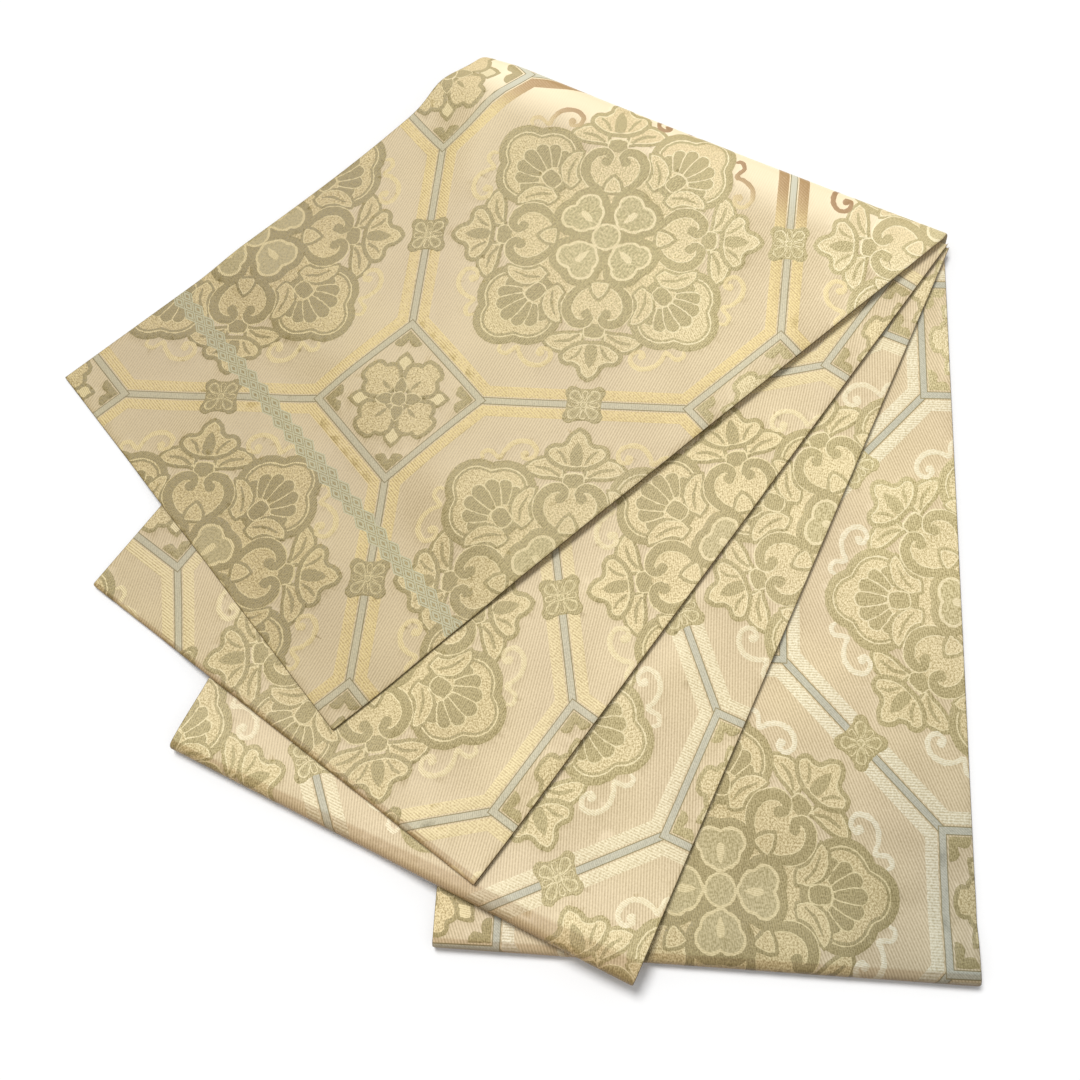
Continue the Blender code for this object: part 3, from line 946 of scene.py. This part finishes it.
pieces = {}
seams = {}
for number, turn in enumerate(turns):
    turn["hinge"] = footLine(turn)
    turn["reach"] = turn["bend"]
    turn["bendLength"] = math.pi * turn["bend"]
    turn["squareSide"] = 1
    point, out = turn["hinge"]
    upper = outlines[turn["name"]]
    back = (point - upper) @ out
    under = upper + np.outer(2 * back + turn["bendLength"], out)
    plan = np.array((upper[2], upper[3], upper[0], under[0], under[3], under[2], under[1], upper[1]))
    turn["flatOutline"] = flatOf(turn, plan)
    if signedArea(turn["flatOutline"]) < 0:
        turn["flatOutline"] = turn["flatOutline"][::-1]
    turn["foldShine"] = lambda flat: np.zeros(len(flat))

    # the mask of the painted shade at the foot fold, from where the shade begins, the roll distance before
    # the fold, across the bend
    def footShade(flat, strip=turn):
        past = (planOf(strip, flat) - strip["hinge"][0]) @ strip["hinge"][1]
        share = np.clip((flat[:, 1] - strip["edge"]) / sash["width"] + 1, 0, 1)
        before = strip["roll"][0] + share * (strip["roll"][1] - strip["roll"][0])
        return (past + before) / (before + 1.4 * strip["bend"])

    turn["footShade"] = footShade

    def reliefAt(flat, strip=turn):
        past = (planOf(strip, flat) - strip["hinge"][0]) @ strip["hinge"][1]
        return (past < strip["bendLength"]).astype(float)

    turn["reliefAt"] = reliefAt
    covers = [other["name"] for other in turns[number + 1 :]] + ["end"]
    keep = keepVisible(turn, covers, 0.03)
    shapes = figureOf(turn, keep)
    piece, edge, seam = buildStrip(turn, turn["flatOutline"], rowsAcross(turn, 8, turn["bendLength"]), shapes)
    pieces[turn["name"]] = piece
    seams[turn["name"]] = (edge, seam)
    print(turn["name"], len(shapes), "motifs,", len(piece.data.polygons), "faces")

endPart["hinge"] = (topAxis, topOut)
endPart["reach"] = topFold["reach"]
endPart["bendLength"] = math.pi * 0.0080
endPart["squareSide"] = 0
stop = endPart["bendLength"] * (math.pi - math.asin(sash["gap"] / (topFold["reach"] - wall / 2))) / math.pi
left, right = endPart["edge"] - sash["width"], endPart["edge"]
wrapEnd = topAxis + stop * topOut
corners = [onLine(across, endSide, endAlong, wrapEnd, topOut) for across in (right - topFold["trim"], left)]
feet = outlines["end"][:2]
bendStart = onLine(right, endSide, endAlong, topAxis, topOut)
endPart["flatOutline"] = flatOf(endPart, np.array((feet[0], feet[1], bendStart, corners[0], corners[1])))
if signedArea(endPart["flatOutline"]) < 0:
    endPart["flatOutline"] = endPart["flatOutline"][::-1]


# the mask of the painted sheen and shade at the top fold, strongest where the cloth turns over
def foldShine(flat):
    past = (planOf(endPart, flat) - topAxis) @ topOut
    return ramp(np.maximum(0, -0.004 - past), 0.034)


# the open end at the far left isn't pressed, and bulges sideways
def flare(flat, past):
    fromLeft = flat[:, 1] - endPart["edge"] + sash["width"]
    along = np.exp(-(((past + topFold["flareBack"]) / topFold["flareWidth"]) ** 2))
    return topFold["flare"] * along * np.exp(-((fromLeft / 0.05) ** 2))


endPart["flare"] = flare
endPart["footShade"] = lambda flat: np.full(len(flat), -1.0)
endPart["foldShine"] = foldShine
endPart["reliefAt"] = lambda flat: np.ones(len(flat))
shapes = figureOf(endPart, keepVisible(endPart, [], 1.0)) + border(endPart)
piece, edge, seam = buildStrip(endPart, endPart["flatOutline"], rowsAcross(endPart, 14, stop), shapes)
pieces["end"] = piece
seams["end"] = (edge, seam)
print("end", len(shapes), "motifs,", len(piece.data.polygons), "faces")


# the two hidden layers, turned under the end part
def buildHidden():
    outline = outlines["hidden"]
    grid = hexGrid(outline.min(axis=0), outline.max(axis=0), 0.012)
    grid = grid[depthInside(grid, outline) > 0.004]
    ring = split(outline, 0.006)
    points = np.concatenate((ring, grid))
    made = delaunay_2d_cdt([Vector(1000 * p) for p in points], [], [list(range(len(ring)))], 1, 1e-4, True)
    points = np.array([tuple(spot) for spot in made[0]]) / 1000
    triangles = np.array([face[:3] for face in made[2]])
    a, b, c = (points[triangles[:, n]] for n in range(3))
    clockwise = np.cross(b - a, c - a) < 0
    triangles[clockwise] = triangles[clockwise][:, ::-1]
    loop = np.array(edgeLoop(triangles))
    ring = points[loop]
    bottom = bottomHeight(points, "hidden")
    tall = 2 * wall + sash["gap"]
    run = np.roll(ring, -1, axis=0) - np.roll(ring, 1, axis=0)
    run /= np.linalg.norm(run, axis=1)[:, None]
    outward = np.column_stack((run[:, 1], -run[:, 0]))
    rows = hiddenTail["sideRows"]
    layers = [np.column_stack((points, bottom))]
    for share, stand in rows:
        layers.append(np.column_stack((ring + stand * outward, bottom[loop] + share * tall)))
    layers.append(np.column_stack((points, bottom + tall)))
    vertices = np.concatenate(layers)
    vertices[:, 2] *= 1 + softness(vertices[:, :2])
    count, here = len(ring), np.arange(len(ring))
    there = np.roll(here, -1)
    top = len(points) + len(rows) * count
    chains = [loop] + [len(points) + number * count + here for number in range(len(rows))] + [top + loop]
    faces = [tuple(face[::-1]) for face in triangles.tolist()]
    kinds = [backCloth] * len(triangles)
    # painted shadow: the two middle side rows, in the gap between the hidden layers, take the dark ditch
    # colour
    for number, (low, high) in enumerate(zip(chains, chains[1:])):
        for a, b in zip(here, there):
            faces.append((low[a], low[b], high[b], high[a]))
            kinds.append(seamDitchShadow if number in (3, 4) else backCloth)
    faces += [tuple(face) for face in (triangles + top).tolist()]
    kinds += [backCloth] * len(triangles)
    flat = vertices[:, :2] - pivot
    return makeMesh("hidden_layers", vertices, faces, np.array(kinds), flat, None)


pieces["hidden"] = buildHidden()
print("hidden layers ready")

# slip stitches, laid along the seams by a node tree
stitches = {"spacing": 0.0055, "length": 0.0034, "thread": 0.00021, "lean": 0.14, "seed": 5}


def threadMaterial():
    material = bpy.data.materials.new("thread")
    material.use_nodes = True
    nodes, links = material.node_tree.nodes, material.node_tree.links
    shader = nodes["Principled BSDF"]
    where = nodes.new("ShaderNodeTexCoord").outputs["Object"]
    twist = nodes.new("ShaderNodeTexWave")
    twist.inputs["Scale"].default_value = 700
    twist.inputs["Distortion"].default_value = 1.5
    links.new(where, twist.inputs["Vector"])
    tone = nodes.new("ShaderNodeMix")
    tone.data_type = "RGBA"
    tone.inputs[6].default_value = linear((128, 104, 62))
    tone.inputs[7].default_value = linear((184, 158, 108))
    links.new(twist.outputs["Fac"], tone.inputs[0])
    links.new(tone.outputs[2], shader.inputs["Base Color"])
    gloss = nodes.new("ShaderNodeMapRange")
    gloss.inputs["To Min"].default_value = 0.42
    gloss.inputs["To Max"].default_value = 0.6
    links.new(twist.outputs["Fac"], gloss.inputs["Value"])
    links.new(gloss.outputs["Result"], shader.inputs["Roughness"])
    bump = nodes.new("ShaderNodeBump")
    bump.inputs["Strength"].default_value = 0.4
    bump.inputs["Distance"].default_value = 0.0001
    links.new(twist.outputs["Fac"], bump.inputs["Height"])
    links.new(bump.outputs[0], shader.inputs["Normal"])
    return material


def stitchTree():
    tree = bpy.data.node_groups.new("slip_stitches", "GeometryNodeTree")
    sockets = (("Seam", "Geometry"), ("Spacing", "Float"), ("Length", "Float"), ("Thread", "Float"),
               ("Lean", "Float"), ("Seed", "Int"), ("Material", "Material"))
    for name, kind in sockets:
        tree.interface.new_socket(name, in_out="INPUT", socket_type="NodeSocket" + kind)
    tree.interface.new_socket("Stitches", in_out="OUTPUT", socket_type="NodeSocketGeometry")
    nodes, links = tree.nodes, tree.links
    given = nodes.new("NodeGroupInput").outputs
    curve = nodes.new("GeometryNodeMeshToCurve")
    links.new(given["Seam"], curve.inputs["Mesh"])
    spots = nodes.new("GeometryNodeCurveToPoints")
    spots.mode = "LENGTH"
    links.new(curve.outputs["Curve"], spots.inputs["Curve"])
    links.new(given["Spacing"], spots.inputs["Length"])
    half = nodes.new("ShaderNodeMath")
    half.operation = "MULTIPLY"
    half.inputs[1].default_value = 0.5
    links.new(given["Length"], half.inputs[0])
    size = nodes.new("ShaderNodeCombineXYZ")
    links.new(given["Thread"], size.inputs[0])
    links.new(given["Thread"], size.inputs[1])
    links.new(half.outputs[0], size.inputs[2])
    bead = nodes.new("GeometryNodeMeshUVSphere")
    bead.inputs["Segments"].default_value = 6
    bead.inputs["Rings"].default_value = 5
    bead.inputs["Radius"].default_value = 1.0
    along = nodes.new("FunctionNodeAlignRotationToVector")
    along.axis = "Z"
    links.new(spots.outputs["Tangent"], along.inputs["Vector"])
    back = nodes.new("ShaderNodeMath")
    back.operation = "MULTIPLY"
    back.inputs[1].default_value = -1.0
    links.new(given["Lean"], back.inputs[0])
    chance = nodes.new("FunctionNodeRandomValue")
    chance.data_type = "FLOAT"
    links.new(back.outputs[0], chance.inputs["Min"])
    links.new(given["Lean"], chance.inputs["Max"])
    links.new(given["Seed"], chance.inputs["Seed"])
    tilt = nodes.new("ShaderNodeCombineXYZ")
    links.new(chance.outputs["Value"], tilt.inputs[0])
    leaning = nodes.new("FunctionNodeRotateRotation")
    leaning.rotation_space = "LOCAL"
    links.new(along.outputs["Rotation"], leaning.inputs["Rotation"])
    links.new(tilt.outputs[0], leaning.inputs["Rotate By"])
    laid = nodes.new("GeometryNodeInstanceOnPoints")
    links.new(spots.outputs["Points"], laid.inputs["Points"])
    links.new(bead.outputs["Mesh"], laid.inputs["Instance"])
    links.new(leaning.outputs[0], laid.inputs["Rotation"])
    links.new(size.outputs[0], laid.inputs["Scale"])
    real = nodes.new("GeometryNodeRealizeInstances")
    links.new(laid.outputs["Instances"], real.inputs["Geometry"])
    dyed = nodes.new("GeometryNodeSetMaterial")
    links.new(real.outputs["Geometry"], dyed.inputs["Geometry"])
    links.new(given["Material"], dyed.inputs["Material"])
    links.new(dyed.outputs["Geometry"], nodes.new("NodeGroupOutput").inputs["Stitches"])
    return tree


tree = stitchTree()
sockets = {item.name: item.identifier for item in tree.interface.items_tree if item.in_out == "INPUT"}
thread = threadMaterial()


def sewSeam(name, edge, seam):
    # only the selvedges and the closed end are sewn
    ahead = np.roll(edge, -1, axis=0)
    sewn = np.abs(ahead[:, 1] - edge[:, 1]) < 1e-5
    if name == "end":
        sewn |= np.maximum(ahead[:, 0], edge[:, 0]) < edge[:, 0].min() + 1e-5
    count = len(edge)
    line = bpy.data.meshes.new(name + "_seam")
    line.from_pydata(seam.tolist(), [(n, (n + 1) % count) for n in range(count) if sewn[n]], [])
    holder = bpy.data.objects.new(name + "_seam", line)
    bpy.context.scene.collection.objects.link(holder)
    modifier = holder.modifiers.new("stitches", "NODES")
    modifier.node_group = tree
    for socket in ("Spacing", "Length", "Seed", "Thread", "Lean"):
        modifier[sockets[socket]] = stitches[socket.lower()]
    modifier[sockets["Material"]] = thread
    graph = bpy.context.evaluated_depsgraph_get()
    made = bpy.data.meshes.new_from_object(holder.evaluated_get(graph))
    made.name = name + "_stitches"
    made.shade_smooth()
    bpy.data.objects.remove(holder)
    piece = bpy.data.objects.new(name + "_stitches", made)
    bpy.context.scene.collection.objects.link(piece)
    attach(piece, "root")
    return piece


sewing = {name: sewSeam(name, edge, seam) for name, (edge, seam) in seams.items()}
print("stitches", [len(piece.data.polygons) for piece in sewing.values()])

nodes = {"end": "end_stretch", "second": "second_stretch", "third": "third_stretch",
         "lowest": "lowest_stretch", "hidden": "hidden_turns"}
for name, piece in pieces.items():
    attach(piece, "root")
    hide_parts(nodes[name])
under = {"lowest": ["floor"], "third": ["lowest_brocade"], "second": ["third_brocade"],
         "hidden": ["second_brocade"], "end": ["hidden_layers"]}

# floor, lights and camera
floorData = bpy.data.meshes.new("floor")
floorData.from_pydata([(-3, -3, 0), (3, -3, 0), (3, 3, 0), (-3, 3, 0)], [], [(0, 1, 2, 3)])
floor = bpy.data.objects.new("floor", floorData)
floor.location.z = -0.0002
bpy.context.scene.collection.objects.link(floor)
paper = bpy.data.materials.new("floor_paper")
paper.use_nodes = True
paper.node_tree.nodes["Principled BSDF"].inputs["Base Color"].default_value = (0.93, 0.93, 0.93, 1)
paper.node_tree.nodes["Principled BSDF"].inputs["Roughness"].default_value = 0.8
floorData.materials.append(paper)

for name, piece in pieces.items():
    if name == "hidden":
        flatLoop = outlines["hidden"]
    else:
        strip = endPart if name == "end" else [turn for turn in turns if turn["name"] == name][0]
        flatLoop = strip["flatOutline"]
    area = abs(signedArea(flatLoop))
    if name == "hidden":
        size = (hiddenTail["right"] - hiddenTail["left"], hiddenTail["foot"])
    else:
        size = (sash["width"], float(np.ptp(flatLoop[:, 0])))
    area = min(area, size[0] * size[1])
    print(name, "flat size", [round(length, 3) for length in size], "area", round(area, 4))

# a broad soft fill and one key light from the upper left, and the camera
studio = {
    "fill": 0.46,
    "key": 2.36,
    "keySoftness": 24,
    "keyTowards": (0.35, -0.7, -1.35),
    "cameraAt": (0.0808, -0.2669, 0.7564),
    "cameraTurn": (16.626, 3.007, 2.806),
    "lens": 41.41,
}

world = bpy.data.worlds.new("studio")
bpy.context.scene.world = world
world.use_nodes = True
world.node_tree.nodes["Background"].inputs["Color"].default_value = (1, 1, 1, 1)
world.node_tree.nodes["Background"].inputs["Strength"].default_value = studio["fill"]

sunData = bpy.data.lights.new("key", "SUN")
sunData.energy = studio["key"]
sunData.angle = math.radians(studio["keySoftness"])
sun = bpy.data.objects.new("key", sunData)
sun.rotation_euler = Vector(studio["keyTowards"]).to_track_quat("-Z", "Y").to_euler()
bpy.context.scene.collection.objects.link(sun)

cameraData = bpy.data.cameras.new("camera")
cameraData.lens = studio["lens"]
cameraData.sensor_width = 36
camera = bpy.data.objects.new("camera", cameraData)
camera.location = studio["cameraAt"]
camera.rotation_euler = [math.radians(angle) for angle in studio["cameraTurn"]]
bpy.context.scene.collection.objects.link(camera)
bpy.context.scene.camera = camera
bpy.context.scene.view_settings.view_transform = "Standard"
print("studio ready")
